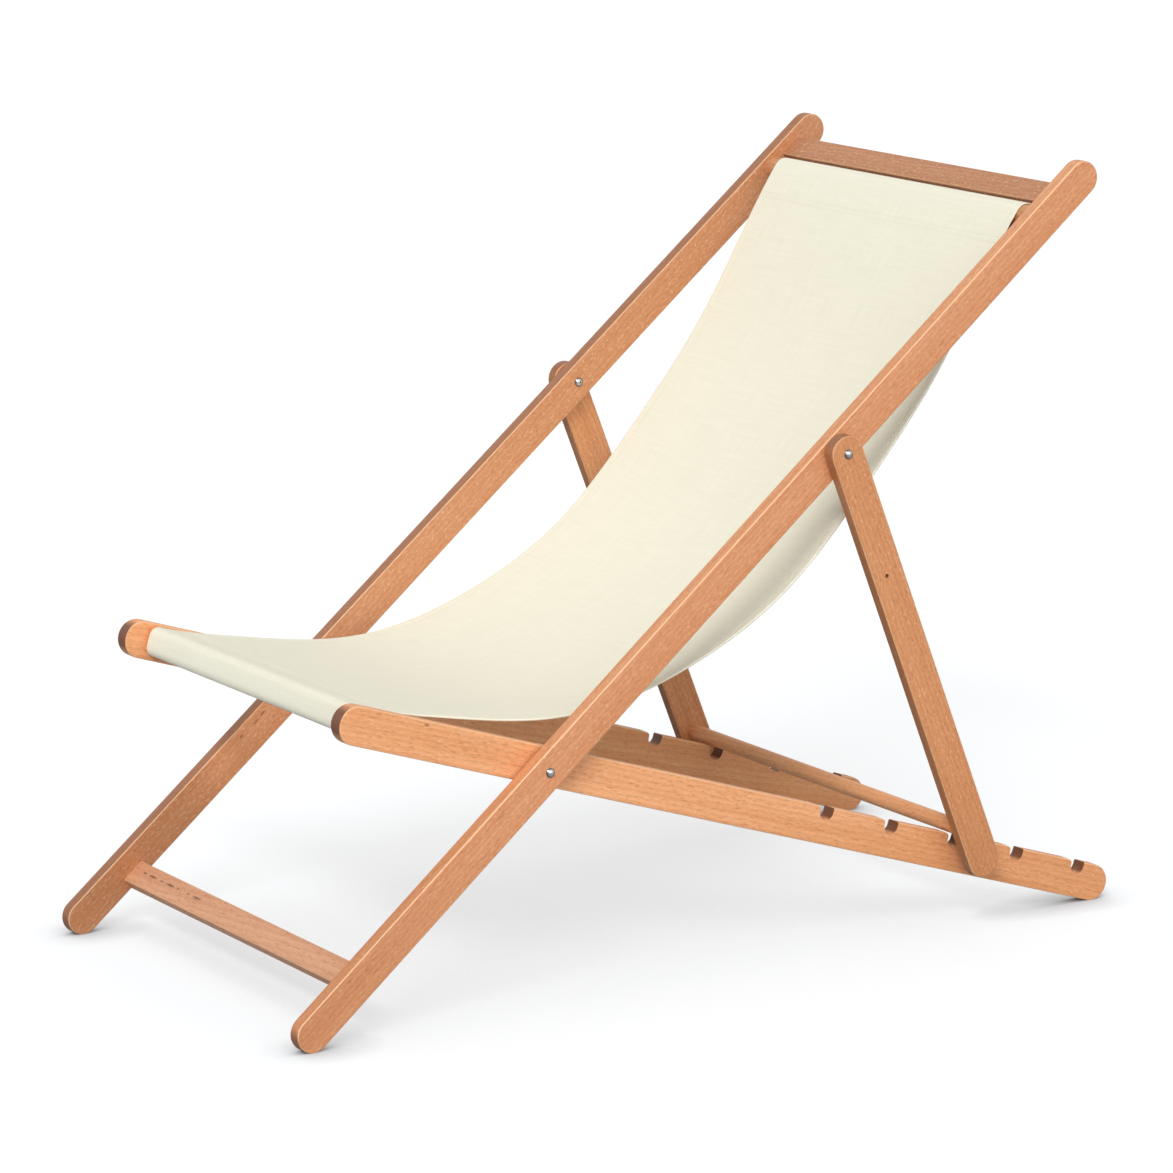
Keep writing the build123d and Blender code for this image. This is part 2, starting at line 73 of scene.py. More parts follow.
def oiled_hardwood(name, turn, light, middle, dark, arris=0.0, side_shade=0.0, ends=0.7, marks=()):
    """Oiled tropical hardwood: tone bands, growth rings, fine streaks, open pores, pale flecks.

    It gives the eye a warm satin brown with a grain that runs along the board. The pattern's
    Y axis is the grain, turned by turn. Bands are 18 mm wide, rings 5 mm apart, streaks 2 mm,
    flecks 1.4 mm and pores 1.1 mm wide, the last three drawn about twice as coarse as they
    are, so that they show. End grain drinks more oil and is darker by ends, a darkening that
    also stands as painted shade on the ends. Painted shade darkens what stands within 0.25 m
    of the floor, a painted highlight makes the arrises paler by arris, and painted shade turns
    a deep brown the faces on the pattern's Z side by the shade amount, or those on its other
    side where that amount is below 0. A mark is a dark spot: centre and radii in metres, and
    depth of tone.
    """
    wood, tree = blank(name)
    place = put(tree, "ShaderNodeTexCoord").outputs["Object"]
    band_map = put(tree, "ShaderNodeMapping", {"Vector": place, "Rotation": turn,
                                               "Scale": (0.018, 0.5, 0.018)}, vector_type="TEXTURE")
    bands = put(tree, "ShaderNodeTexNoise", {"Vector": band_map.outputs[0], "Scale": 1.0, "Detail": 2.0})
    ring_turn = (turn[0] + radians(1.6), turn[1], turn[2] + radians(2.2))
    ring_map = put(tree, "ShaderNodeMapping", {"Vector": place, "Rotation": ring_turn,
                                               "Location": (0.05, 0.0, -0.06)}, vector_type="TEXTURE")
    rings = put(tree, "ShaderNodeTexWave", {"Vector": ring_map.outputs[0], "Scale": 62.8, "Distortion": 3.2,
                                            "Detail": 2.0, "Detail Scale": 0.35},
                wave_type="RINGS", rings_direction="Y", wave_profile="SAW")
    streak_map = put(tree, "ShaderNodeMapping", {"Vector": place, "Rotation": turn,
                                                 "Scale": (0.002, 0.085, 0.002)}, vector_type="TEXTURE")
    streaks = put(tree, "ShaderNodeTexNoise", {"Vector": streak_map.outputs[0], "Scale": 1.0, "Detail": 3.0,
                                               "Roughness": 0.6})
    pore_map = put(tree, "ShaderNodeMapping", {"Vector": place, "Rotation": turn,
                                               "Scale": (0.0011, 0.009, 0.0011)}, vector_type="TEXTURE")
    pores = put(tree, "ShaderNodeTexNoise", {"Vector": pore_map.outputs[0], "Scale": 1.0, "Detail": 1.0})
    fleck_map = put(tree, "ShaderNodeMapping", {"Vector": place, "Rotation": turn,
                                                "Location": (0.3, 0.2, 0.1),
                                                "Scale": (0.0014, 0.005, 0.0014)}, vector_type="TEXTURE")
    flecks = put(tree, "ShaderNodeTexNoise", {"Vector": fleck_map.outputs[0], "Scale": 1.0, "Detail": 1.0})
    band_share = put(tree, "ShaderNodeMapRange", {"Value": bands.outputs["Fac"], "From Min": 0.32,
                                                  "From Max": 0.68})
    ring_share = put(tree, "ShaderNodeMapRange", {"Value": rings.outputs["Fac"], "From Min": 0.35,
                                                  "From Max": 1.0, "To Max": 0.30})
    streak_share = put(tree, "ShaderNodeMapRange", {"Value": streaks.outputs["Fac"], "From Min": 0.38,
                                                    "From Max": 0.72, "To Max": 0.55})
    pore_share = put(tree, "ShaderNodeMapRange", {"Value": pores.outputs["Fac"], "From Min": 0.58,
                                                  "From Max": 0.74, "To Max": 0.65})
    fleck_share = put(tree, "ShaderNodeMapRange", {"Value": flecks.outputs["Fac"], "From Min": 0.56,
                                                   "From Max": 0.72, "To Max": 0.32})
    tone = put(tree, "ShaderNodeMix", {0: band_share.outputs[0], 6: linear(light), 7: linear(middle)},
               data_type="RGBA")
    for share, colour in ((ring_share, dark), (streak_share, middle), (pore_share, dark),
                          (fleck_share, "#f6cfa6")):
        tone = put(tree, "ShaderNodeMix", {0: share.outputs[0], 6: tone.outputs[2], 7: linear(colour)},
                   data_type="RGBA")
    for centre, radii, depth in marks:
        spot = put(tree, "ShaderNodeMapping", {"Vector": place, "Location": centre, "Rotation": turn,
                                               "Scale": radii}, vector_type="TEXTURE")
        reach = put(tree, "ShaderNodeVectorMath", {0: spot.outputs[0]}, operation="LENGTH")
        share = put(tree, "ShaderNodeMapRange", {"Value": reach.outputs["Value"], "From Min": 1.0,
                                                 "From Max": 0.4, "To Max": depth})
        tone = put(tree, "ShaderNodeMix", {0: share.outputs[0], 6: tone.outputs[2], 7: linear("#5d3218")},
                   data_type="RGBA")
    # Painted shade: the tone darkens towards the floor, from 0.25 m down to 0.02 m, multiplied by a pale grey.
    height = put(tree, "ShaderNodeSeparateXYZ", {0: place})
    painted_low_shade = put(tree, "ShaderNodeMapRange", {"Value": height.outputs[2], "From Min": 0.25, "From Max": 0.02},
               interpolation_type="SMOOTHSTEP")
    tone = put(tree, "ShaderNodeMix", {0: painted_low_shade.outputs[0], 6: tone.outputs[2], 7: linear("#efece7")},
               data_type="RGBA", blend_type="MULTIPLY")
    facing = put(tree, "ShaderNodeMapping", {"Vector": put(tree, "ShaderNodeTexCoord").outputs["Normal"],
                                             "Rotation": turn}, vector_type="TEXTURE")
    facing = put(tree, "ShaderNodeSeparateXYZ", {0: facing.outputs[0]})
    side_on = put(tree, "ShaderNodeMath", {0: facing.outputs[0]}, operation="ABSOLUTE")
    end_on = put(tree, "ShaderNodeMath", {0: facing.outputs[1]}, operation="ABSOLUTE")
    # Painted highlight: the arrises, where the faces turn, are mixed towards a pale tan.
    turned = put(tree, "ShaderNodeMapRange", {"Value": side_on.outputs[0], "From Min": 0.25,
                                              "From Max": 0.55, "To Max": arris})
    kept = put(tree, "ShaderNodeMapRange", {"Value": side_on.outputs[0], "From Min": 0.98, "From Max": 0.80})
    painted_arris_highlight = put(tree, "ShaderNodeMath", {0: turned.outputs[0], 1: kept.outputs[0]}, operation="MULTIPLY")
    tone = put(tree, "ShaderNodeMix", {0: painted_arris_highlight.outputs[0], 6: tone.outputs[2], 7: linear("#fbd3a8")},
               data_type="RGBA")
    # Painted shade: faces on the pattern's Z side, or on its other side for a negative amount, turn a deep
    # brown.
    shade_side = 1 if side_shade > 0 else -1
    painted_side_shade = put(tree, "ShaderNodeMapRange", {"Value": facing.outputs[2], "From Min": 0.55 * shade_side,
                                               "From Max": 0.9 * shade_side, "To Max": abs(side_shade)})
    # End grain is darker from the oil it drinks; the darkening also stands as painted shade on the ends.
    end_grain_and_shade = put(tree, "ShaderNodeMapRange", {"Value": end_on.outputs[0], "From Min": 0.45,
                                                 "From Max": 0.85, "To Max": ends})
    for share, colour in ((painted_side_shade, "#7d4a2c"), (end_grain_and_shade, "#6b3d24")):
        tone = put(tree, "ShaderNodeMix", {0: share.outputs[0], 6: tone.outputs[2], 7: linear(colour)},
                   data_type="RGBA")
    sheen = put(tree, "ShaderNodeMapRange", {"Value": streaks.outputs["Fac"], "From Min": 0.3, "From Max": 0.7,
                                             "To Min": 0.42, "To Max": 0.58})
    relief = put(tree, "ShaderNodeMath", {0: pore_share.outputs[0], 1: streak_share.outputs[0]},
                 operation="ADD")
    bump = put(tree, "ShaderNodeBump", {"Height": relief.outputs[0], "Strength": 0.35, "Distance": 0.0002},
               invert=True)
    skin = put(tree, "ShaderNodeBsdfPrincipled", {"Base Color": tone.outputs[2], "Roughness": sheen.outputs[0],
                                                  "IOR": 1.5, "Normal": bump.outputs[0]})
    put(tree, "ShaderNodeOutputMaterial", {"Surface": skin.outputs[0]})
    return wood


def dress(material, *nodes):
    """Gives CAD nodes one material, in place of the plain one that they came with."""
    for name in nodes:
        mesh = frame["nodes"][name].data
        mesh.materials.clear()
        mesh.materials.append(material)


left_rail_wood = oiled_hardwood("oiled hardwood, left long rail", (BACK_LEAN, 0, 0),
                                "#e2a073", "#d68d5e", "#ad693d", arris=0.5)
# Three short dark marks on the right rail's inner face, below the seat pivot.
right_rail_marks = [((-0.254, -0.2867, 0.2247), (0.002, 0.0055, 0.0016), 0.75),
                    ((-0.254, -0.2953, 0.2159), (0.002, 0.0065, 0.0017), 0.55),
                    ((-0.254, -0.3144, 0.2009), (0.002, 0.0035, 0.0016), 0.75)]
# The right rail's tones are a little darker than the left rail's, as painted shade on the far rail, and its
# faces on the pattern's Z side carry painted shade.
right_rail_wood = oiled_hardwood("oiled hardwood, right long rail", (BACK_LEAN, 0, 0),
                                 "#cc8f66", "#c28155", "#9d6038", arris=0.5, side_shade=0.6,
                                 marks=right_rail_marks)
dress(left_rail_wood, "long_rail_left")
dress(right_rail_wood, "long_rail_right")

# ---------------------------------------------------------------- head and foot rail
# Two flat boards of the same wood, doweled and glued between the long rails. The foot rail
# is the paler board, with a line of short dark marks where a branch once lay in the wood.

BOARD_TURN = (0, BACK_LEAN - pi / 2, -pi / 2)
MARK_Y, MARK_Z, MARK_DEEP = -0.4537, 0.0672, 0.0012
foot_marks = [((x, MARK_Y, MARK_Z), (MARK_DEEP, reach, wide), depth)
              for x, reach, wide, depth in ((-0.228, 0.005, 0.0016, 0.8), (-0.2095, 0.011, 0.0021, 0.75),
                                            (-0.188, 0.007, 0.0014, 0.6), (-0.168, 0.012, 0.0020, 0.8),
                                            (-0.1505, 0.003, 0.0018, 0.7), (-0.126, 0.005, 0.0013, 0.6),
                                            (-0.106, 0.011, 0.0019, 0.75))]
head_rail_wood = oiled_hardwood("oiled hardwood, head rail", BOARD_TURN, "#c38860", "#b37651", "#8a5236",
                                arris=0.3)
foot_rail_wood = oiled_hardwood("oiled hardwood, foot rail", BOARD_TURN, "#eeb490", "#e0a07a", "#b2744b",
                                arris=0.3, marks=foot_marks)
dress(head_rail_wood, "head_rail")
dress(foot_rail_wood, "foot_rail")

# ---------------------------------------------------------------- dowels and sling bar
# Fluted beech dowels, glued blind into the boards and rails and left raw, and the turned
# beech bar that carries the head of the sling, oiled a warm brown like the rails.

BAR_TURN = (0, 0, -pi / 2)
raw_beech = oiled_hardwood("raw beech", BAR_TURN, "#e6cba3", "#dcbb8e", "#b98f63")
oiled_beech = oiled_hardwood("oiled beech, sling bar", BAR_TURN, "#d59b6e", "#c88a5c", "#9b6039")
dress(raw_beech, "head_rail_dowels", "foot_rail_dowels", "front_rail_dowels")
dress(oiled_beech, "sling_bar")

# ---------------------------------------------------------------- seat rails and front rail
# Two rails with five notches each, turning on the long rails, joined by the front rail that
# the sling is sewn round. They are the palest boards of the frame, with a small knot.

SEAT_DIP = radians(18.0)
left_rail_knot = ((0.249, -0.3667, 0.3251), (0.004, 0.0045, 0.0022), 0.6)
# The seat rails' ends are the darkest: end grain, with painted shade on them.
seat_rail_wood = oiled_hardwood("oiled hardwood, seat rails", (-SEAT_DIP, 0, 0),
                                "#f7b380", "#e69c66", "#ba703a", arris=0.45, ends=0.95,
                                marks=[left_rail_knot])
front_rail_wood = oiled_hardwood("oiled hardwood, front rail", BAR_TURN, "#e3a377", "#d89264", "#b06d41")
dress(seat_rail_wood, "seat_rail_left", "seat_rail_right")
dress(front_rail_wood, "front_rail")

# ---------------------------------------------------------------- prop
# Two flat legs that swing outside the long rails, and the round bar between them, which is
# set into the legs with a nailed tenon at each end and lies over the third notch.

PROP_LEAN = radians(68.3)
# The legs' faces on the pattern's other Z side carry painted shade.
prop_wood = oiled_hardwood("oiled hardwood, prop legs", (-PROP_LEAN, 0, 0), "#da9765", "#ca8350", "#a36034",
                           arris=0.3, side_shade=-0.5)
# The bar's tones are painted paler than the legs', as painted light that lifts it out of the shade it lies in.
bar_wood = oiled_hardwood("oiled hardwood, prop bar", BAR_TURN, "#fdbd8a", "#f0a873", "#bd7a4b")
dress(prop_wood, "prop_leg_left", "prop_leg_right")
dress(bar_wood, "prop_bar")

# ---------------------------------------------------------------- pivots and nails
# Sleeve nuts and screws of bright steel, turned and polished, with domed heads. The spacers
# on them are moulded of brown nylon, and the nails are drawn steel.

bright_steel, tree = blank("bright turned steel")
place = put(tree, "ShaderNodeTexCoord").outputs["Object"]
# Turning marks and handling scuffs, about 1 mm apart, break up a bright, mirror-like dome.
scuffs = put(tree, "ShaderNodeTexNoise", {"Vector": place, "Scale": 900.0, "Detail": 3.0})
polish = put(tree, "ShaderNodeMapRange", {"Value": scuffs.outputs["Fac"], "To Min": 0.16, "To Max": 0.34})
steel_tone_and_rim_shade = put(tree, "ShaderNodeMix", {0: scuffs.outputs["Fac"], 6: linear("#d6d7d9"), 7: linear("#b4b5b6")},
              data_type="RGBA")
# Painted shade and a painted dark reflection darken the edge of each dome, where it slopes down to the wood.
facing = put(tree, "ShaderNodeSeparateXYZ", {0: put(tree, "ShaderNodeTexCoord").outputs["Normal"]})
facing = put(tree, "ShaderNodeMath", {0: facing.outputs[0]}, operation="ABSOLUTE")
painted_rim_shade = put(tree, "ShaderNodeMapRange", {"Value": facing.outputs[0], "From Min": 0.93, "From Max": 0.72,
                                       "To Max": 0.85})
steel_tone_and_rim_shade = put(tree, "ShaderNodeMix", {0: painted_rim_shade.outputs[0], 6: steel_tone_and_rim_shade.outputs[2], 7: linear("#4a3f37")},
              data_type="RGBA")
scratch = put(tree, "ShaderNodeBump", {"Height": scuffs.outputs["Fac"], "Strength": 0.15, "Distance": 0.0001})
skin = put(tree, "ShaderNodeBsdfPrincipled", {"Base Color": steel_tone_and_rim_shade.outputs[2], "Metallic": 1.0,
                                              "Roughness": polish.outputs[0], "Normal": scratch.outputs[0]})
put(tree, "ShaderNodeOutputMaterial", {"Surface": skin.outputs[0]})
dress(bright_steel, "seat_pivot_sleeves", "seat_pivot_screws", "prop_pivot_sleeves", "prop_pivot_screws",
      "prop_bar_nails")

brown_nylon, tree = blank("moulded brown nylon")
place = put(tree, "ShaderNodeTexCoord").outputs["Object"]
# The mould's fine spark grain, about 0.8 mm, makes the plain brown matt.
grit = put(tree, "ShaderNodeTexNoise", {"Vector": place, "Scale": 1250.0, "Detail": 2.0})
shade = put(tree, "ShaderNodeMix", {0: grit.outputs["Fac"], 6: linear("#6f5240"), 7: linear("#80604b")},
            data_type="RGBA")
grain = put(tree, "ShaderNodeBump", {"Height": grit.outputs["Fac"], "Strength": 0.2, "Distance": 0.0001})
skin = put(tree, "ShaderNodeBsdfPrincipled", {"Base Color": shade.outputs[2], "Roughness": 0.55, "IOR": 1.53,
                                              "Normal": grain.outputs[0]})
put(tree, "ShaderNodeOutputMaterial", {"Surface": skin.outputs[0]})
dress(brown_nylon, "seat_pivot_spacers", "prop_pivot_spacers")

# ---------------------------------------------------------------- sling
# One length of cream cotton canvas with hemmed sides. Its head is sewn round the sling bar,
# it hangs free behind the sitter, and its front end is sewn round the front rail.

pivot = np.array(next(j for j in frame["joints"] if j["name"] == "fold")["pos_m"][1:])
# Sling bar's centre up the long rails, and the cloth's radius round it.
BAR_UP, POCKET = 0.8407, 0.0147
# Highest point that was fitted on the hanging cloth: up the long rails, and behind them.
HIGH_UP, HIGH_BACK = 0.640, 0.051
# Head seam below the bar, the gap from it to its lap, the front lap's start behind the front
# rail, and the laps' reach.
SEAM_DROP, LAP_GAP, FRONT_GAP, HEM_LAP = 0.027, 0.008, 0.024, 0.030
# Front rail's centre in front of the seat pivot and over it, and its section.
RAIL_REACH, RAIL_OVER = 0.219, 0.0055
RAIL_HALF_THICK, RAIL_HALF_HEIGHT, RAIL_ROUND = 0.0085, 0.015, 0.008
# Cloth: its thickness, its middle over the front rail's face, and one layer behind another.
CLOTH, WRAP, LAYER = 0.0014, 0.0011, 0.0016
# Half widths at the front end and at the head, and their places in front of and behind the pivot.
HALF_FRONT, HALF_HEAD = 0.225, 0.238
FRONT_REACH, HEAD_REACH = 0.234, 0.907
# Side hems: width, thickness, stitch line from the edge, and the share of the hang left plain.
HEM_WIDE, HEM_THICK, SEAM_FROM_EDGE = 0.012, 0.0011, 0.0100
HEM_START, HEM_FADE = 0.045, 0.02
# The middle of the width hangs this much below the edges, half way along.
SAG = 0.007


def along_back(up, forward):
    """Side coordinates Y, Z of points given up and forward of the long rails, in metres."""
    up, forward = np.asarray(up, float), np.asarray(forward, float)
    return pivot + np.stack([up * cos(BACK_LEAN) - forward * sin(BACK_LEAN),
                             up * sin(BACK_LEAN) + forward * cos(BACK_LEAN)], -1)


def along_seat(behind, over):
    """Side coordinates Y, Z of points given behind and over the seat pivot, in metres."""
    behind, over = np.asarray(behind, float), np.asarray(over, float)
    return pivot + np.stack([behind * cos(SEAT_DIP) + over * sin(SEAT_DIP),
                             over * cos(SEAT_DIP) - behind * sin(SEAT_DIP)], -1)


def hanging(points, start, end, count):
    """Smooth cubic through the points with given end slopes.

    Knots lie a chord apart. The inner slopes, solved as one linear system, make the bend run
    on over each knot, and each span is the cubic Hermite curve of its ends and slopes.
    """
    chord = np.linalg.norm(np.diff(points, axis=0), axis=1)
    knot = np.concatenate([[0], np.cumsum(chord)])
    size = len(points)
    system = np.eye(size)
    inner = np.arange(1, size - 1)
    system[inner, inner - 1] = chord[1:]
    system[inner, inner] = 2 * (chord[:-1] + chord[1:])
    system[inner, inner + 1] = chord[:-1]
    rise = np.diff(points, axis=0) / chord[:, None]
    right = np.empty_like(points)
    right[0], right[-1] = start, end
    right[1:-1] = 3 * (chord[1:, None] * rise[:-1] + chord[:-1, None] * rise[1:])
    slope = np.linalg.solve(system, right)
    at = np.linspace(0, knot[-1], count)
    span = np.clip(np.searchsorted(knot, at, "right") - 1, 0, size - 2)
    h = chord[span][:, None]
    t = ((at - knot[span]) / chord[span])[:, None]
    return ((2 * t**3 - 3 * t**2 + 1) * points[span] + (t**3 - 2 * t**2 + t) * h * slope[span]
            + (3 * t**2 - 2 * t**3) * points[span + 1] + (t**3 - t**2) * h * slope[span + 1])


# Head pocket, in up and forward of the sling bar: a leg from the seam to the bar, then the turn.
leave = asin(HIGH_BACK / (BAR_UP - HIGH_UP))
fall = np.array([-cos(leave), -sin(leave)])
front = np.array([-sin(leave), cos(leave)])
seam = POCKET * front + SEAM_DROP * fall
turn_back = 2 * atan2(SEAM_DROP, POCKET)
round_bar = np.linspace(turn_back - 2 * pi, 0, 90)[:, None]
round_bar = POCKET * (np.cos(round_bar) * front + np.sin(round_bar) * fall)
leg = np.linspace(0.12, 0.9, 20)[:, None]
leg = seam - LAYER * front + leg * (round_bar[0] - seam + LAYER * front)
pocket = np.concatenate([leg, round_bar])
pocket = along_back(BAR_UP + pocket[:, 0], pocket[:, 1])

# Front pocket, in behind and over of the front rail's centre: top, front, bottom and rear.
out_thick = RAIL_HALF_THICK + WRAP
out_height = RAIL_HALF_HEIGHT + WRAP
out_round = RAIL_ROUND + WRAP
core_thick, core_height = out_thick - out_round, out_height - out_round
quarter = np.linspace(0, pi / 2, 14)
arc_sin, arc_cos = out_round * np.sin(quarter), out_round * np.cos(quarter)
top_front = np.stack([-core_thick - arc_sin, core_height + arc_cos], 1)
low_front = np.stack([-core_thick - arc_cos, -core_height - arc_sin], 1)
low_rear = np.stack([core_thick + arc_sin, -core_height - arc_cos], 1)
wrap_start = RAIL_HALF_THICK / 2
rear_leg = np.stack([np.linspace(out_thick, out_thick + 0.004, 12), np.linspace(-core_height, 0.008, 12)], 1)
wrap = np.concatenate([top_front, low_front, low_rear, rear_leg])
wrap = along_seat(wrap[:, 0] - RAIL_REACH, wrap[:, 1] + RAIL_OVER)

# Hanging length between the two pockets: points fitted on the photograph's edge of the cloth.
hang_points = np.concatenate([
    pocket[-1:],
    along_back([HIGH_UP, 0.500, 0.350, 0.209], [-HIGH_BACK, -0.079, -0.0935, -0.067]),
    pivot + np.array([[0.060, 0.0475], [-0.113, 0.0675]]),
    along_seat([wrap_start - RAIL_REACH], [RAIL_OVER + out_height]),
])
hang_start = along_back(*fall) - pivot
hang_end = np.array([-cos(SEAT_DIP), sin(SEAT_DIP)])
hang = hanging(hang_points, hang_start, hang_end, 700)

# Both hems' laps lie a layer under the hanging cloth: below the bar, and behind the front rail.
hang_slope = np.gradient(hang, axis=0)
hang_slope /= np.linalg.norm(hang_slope, axis=1)[:, None]
under = hang + LAYER * np.stack([-hang_slope[:, 1], hang_slope[:, 0]], 1)
hang_run = np.concatenate([[0], np.cumsum(np.linalg.norm(np.diff(hang, axis=0), axis=1))])
from_front = hang_run[-1] - hang_run
head_lap = under[(hang_run > SEAM_DROP + LAP_GAP) & (hang_run < SEAM_DROP + HEM_LAP)][::-1]
front_lap = under[(from_front > FRONT_GAP) & (from_front < FRONT_GAP + HEM_LAP)][::-1]
head = np.concatenate([head_lap, pocket])
line = np.concatenate([head, hang[1:], wrap, front_lap])

# Even steps of 1 mm, then corners eased over about 2 mm, then steps of about 3 mm.
run = np.concatenate([[0], np.cumsum(np.linalg.norm(np.diff(line, axis=0), axis=1))])
fine_run = np.arange(0, run[-1], 0.001)
fine = np.stack([np.interp(fine_run, run, line[:, k]) for k in (0, 1)], 1)
ease = np.exp(-0.5 * (np.arange(-6, 7) / 2.0) ** 2)
ease /= ease.sum()
padded_line = np.concatenate([2 * fine[0] - fine[6:0:-1], fine, 2 * fine[-1] - fine[-2:-8:-1]])
fine = np.stack([np.convolve(padded_line[:, k], ease, "valid") for k in (0, 1)], 1)
fine_run = np.concatenate([[0], np.cumsum(np.linalg.norm(np.diff(fine, axis=0), axis=1))])
steps = int(fine_run[-1] / 0.003)
length_at = np.linspace(0, fine_run[-1], steps + 1)
middle_line = np.stack([np.interp(length_at, fine_run, fine[:, k]) for k in (0, 1)], 1)
slope = np.gradient(middle_line, axis=0)
slope /= np.linalg.norm(slope, axis=1)[:, None]
# Upward and outward side of the cloth, the one that shows from the front.
outward = np.stack([slope[:, 1], -slope[:, 0]], 1)

# Half width grows evenly from the front end to the head, as the cloth is cut.
front_y, head_y = pivot[0] - FRONT_REACH, pivot[0] + HEAD_REACH
half_width = HALF_FRONT + (HALF_HEAD - HALF_FRONT) * (middle_line[:, 0] - front_y) / (head_y - front_y)

# Share of the hanging length, 0 at the sling bar and 1 at the front rail.
head_run = np.linalg.norm(np.diff(head, axis=0), axis=1).sum()
hung = np.clip((length_at - head_run) / hang_run[-1], 0, 1)
hem_share = np.clip((hung - HEM_START) / HEM_FADE, 0, 1) * np.clip((1 - HEM_START - hung) / HEM_FADE, 0, 1)
sag_share = np.sin(pi * hung) ** 2


def canvas_point(step, side, from_edge, level):
    """Points on the sling: at a step of its line, a side, a distance in from that edge, and a
    level from the cloth's middle along its outward side. The width sags as a parabola."""
    across = side * (half_width[step] - from_edge)
    share = across / half_width[step]
    lift = level - SAG * sag_share[step] * (1 - share**2)
    place_y = middle_line[step, 0] + outward[step, 0] * lift
    place_z = middle_line[step, 1] + outward[step, 1] * lift
    return np.stack([across, place_y, place_z], -1)


# Section of the cloth: upper side from right to left with a groove at each stitch line, rounded
# edge, lower side with the hems. Points lie closest together near the edges.
edge_in = np.array([0.0006, 0.0015, 0.003, 0.005, 0.007, 0.0085, 0.0092, 0.010, 0.0108, 0.0115, 0.012, 0.0125,
                    0.0135, 0.015, 0.018, 0.024, 0.034, 0.048, 0.066, 0.088, 0.112, 0.138, 0.166, 0.196])
groove = -0.00025 * np.exp(-(((edge_in - SEAM_FROM_EDGE) / 0.0011) ** 2))
hem_depth = np.clip((HEM_WIDE + 0.0005 - edge_in) / 0.001, 0, 1)
side = np.concatenate([-np.ones(len(edge_in)), [1.0], np.ones(len(edge_in))])
inset = np.concatenate([edge_in, [np.nan], edge_in[::-1]])
top_level = np.concatenate([groove, [0.0], groove[::-1]]) + CLOTH / 2
low_level = np.concatenate([hem_depth, [0.0], hem_depth[::-1]])
step = np.arange(steps + 1)[:, None]
inset_at = np.where(np.isnan(inset)[None, :], half_width[:, None], inset[None, :])
upper = canvas_point(step, side[None, :], inset_at, top_level[None, :])
hem_level = -CLOTH / 2 - HEM_THICK * low_level[None, :] * hem_share[:, None]
lower = canvas_point(step, side[None, :], inset_at, hem_level)
edge_level = -HEM_THICK * hem_share[:, None] / 2
left_edge = canvas_point(step, np.ones((1, 1)), np.zeros((1, 1)), edge_level)
right_edge = canvas_point(step, -np.ones((1, 1)), np.zeros((1, 1)), edge_level)
section = np.concatenate([upper, left_edge, lower[:, ::-1], right_edge], 1)


def closed_strip(name, points, spread, lengths):
    """Mesh of a closed section carried along a line: quads between neighbouring sections and
    a cap of quads at each end. UV is the distance across and along the cloth, in metres."""
    rows, columns = points.shape[:2]
    here = np.arange(rows - 1)[:, None] * columns
    first = here + np.arange(columns)
    second = here + (np.arange(columns) + 1) % columns
    walls = np.stack([first, first + columns, second + columns, second], -1).reshape(-1, 4)
    half = np.arange(columns // 2 - 1)
    cap = np.stack([half, half + 1, columns - 2 - half, (columns - 1 - half) % columns], -1)
    far = cap[:, ::-1] + (rows - 1) * columns
    faces = np.concatenate([walls, cap, far])
    mesh = bpy.data.meshes.new(name)
    mesh.from_pydata(points.reshape(-1, 3).tolist(), [], faces.tolist())
    flat = np.stack(np.broadcast_arrays(spread, lengths[:, None]), -1)
    layer = mesh.uv_layers.new(name="cloth")
    corners = np.empty(len(mesh.loops), np.int32)
    mesh.loops.foreach_get("vertex_index", corners)
    layer.data.foreach_set("uv", flat.reshape(-1, 2)[corners].astype(np.float32).ravel())
    mesh.polygons.foreach_set("use_smooth", np.ones(len(mesh.polygons), bool))
    mesh.validate()
    made = bpy.data.objects.new(name, mesh)
    bpy.context.scene.collection.objects.link(made)
    return made


sling = closed_strip("canvas_sling", section, section[:, :, 0], length_at)

# Cream cotton canvas, plain woven and washed: a matt cloth whose thick and thin threads show.
# The threads lie about 0.7 mm apart and are drawn at 1.6 mm, so that they show.
THREAD = 0.0016
canvas, tree = blank("cream cotton canvas")
flat = put(tree, "ShaderNodeUVMap", uv_map="cloth").outputs[0]
split = put(tree, "ShaderNodeSeparateXYZ", {0: flat})
warp = put(tree, "ShaderNodeMath", {0: split.outputs[0], 1: pi / THREAD}, operation="MULTIPLY")
weft = put(tree, "ShaderNodeMath", {0: split.outputs[1], 1: pi / THREAD}, operation="MULTIPLY")
warp = put(tree, "ShaderNodeMath", {0: warp.outputs[0]}, operation="SINE")
weft = put(tree, "ShaderNodeMath", {0: weft.outputs[0]}, operation="SINE")
weave = put(tree, "ShaderNodeMath", {0: warp.outputs[0], 1: weft.outputs[0]}, operation="MULTIPLY")
# Slubs: threads that run thick for some 60 mm, along the cloth and across it.
warp_map = put(tree, "ShaderNodeMapping", {"Vector": flat, "Scale": (0.003, 0.06, 1)}, vector_type="TEXTURE")
weft_map = put(tree, "ShaderNodeMapping", {"Vector": flat, "Scale": (0.06, 0.003, 1)}, vector_type="TEXTURE")
warp_slub = put(tree, "ShaderNodeTexNoise", {"Vector": warp_map.outputs[0], "Scale": 1.0, "Detail": 1.0},
                noise_dimensions="2D")
weft_slub = put(tree, "ShaderNodeTexNoise", {"Vector": weft_map.outputs[0], "Scale": 1.0, "Detail": 1.0},
                noise_dimensions="2D")
slub = put(tree, "ShaderNodeMath", {0: warp_slub.outputs["Fac"], 1: weft_slub.outputs["Fac"]}, operation="ADD")
slub_share = put(tree, "ShaderNodeMapRange", {"Value": slub.outputs[0], "From Min": 0.7, "From Max": 1.3})
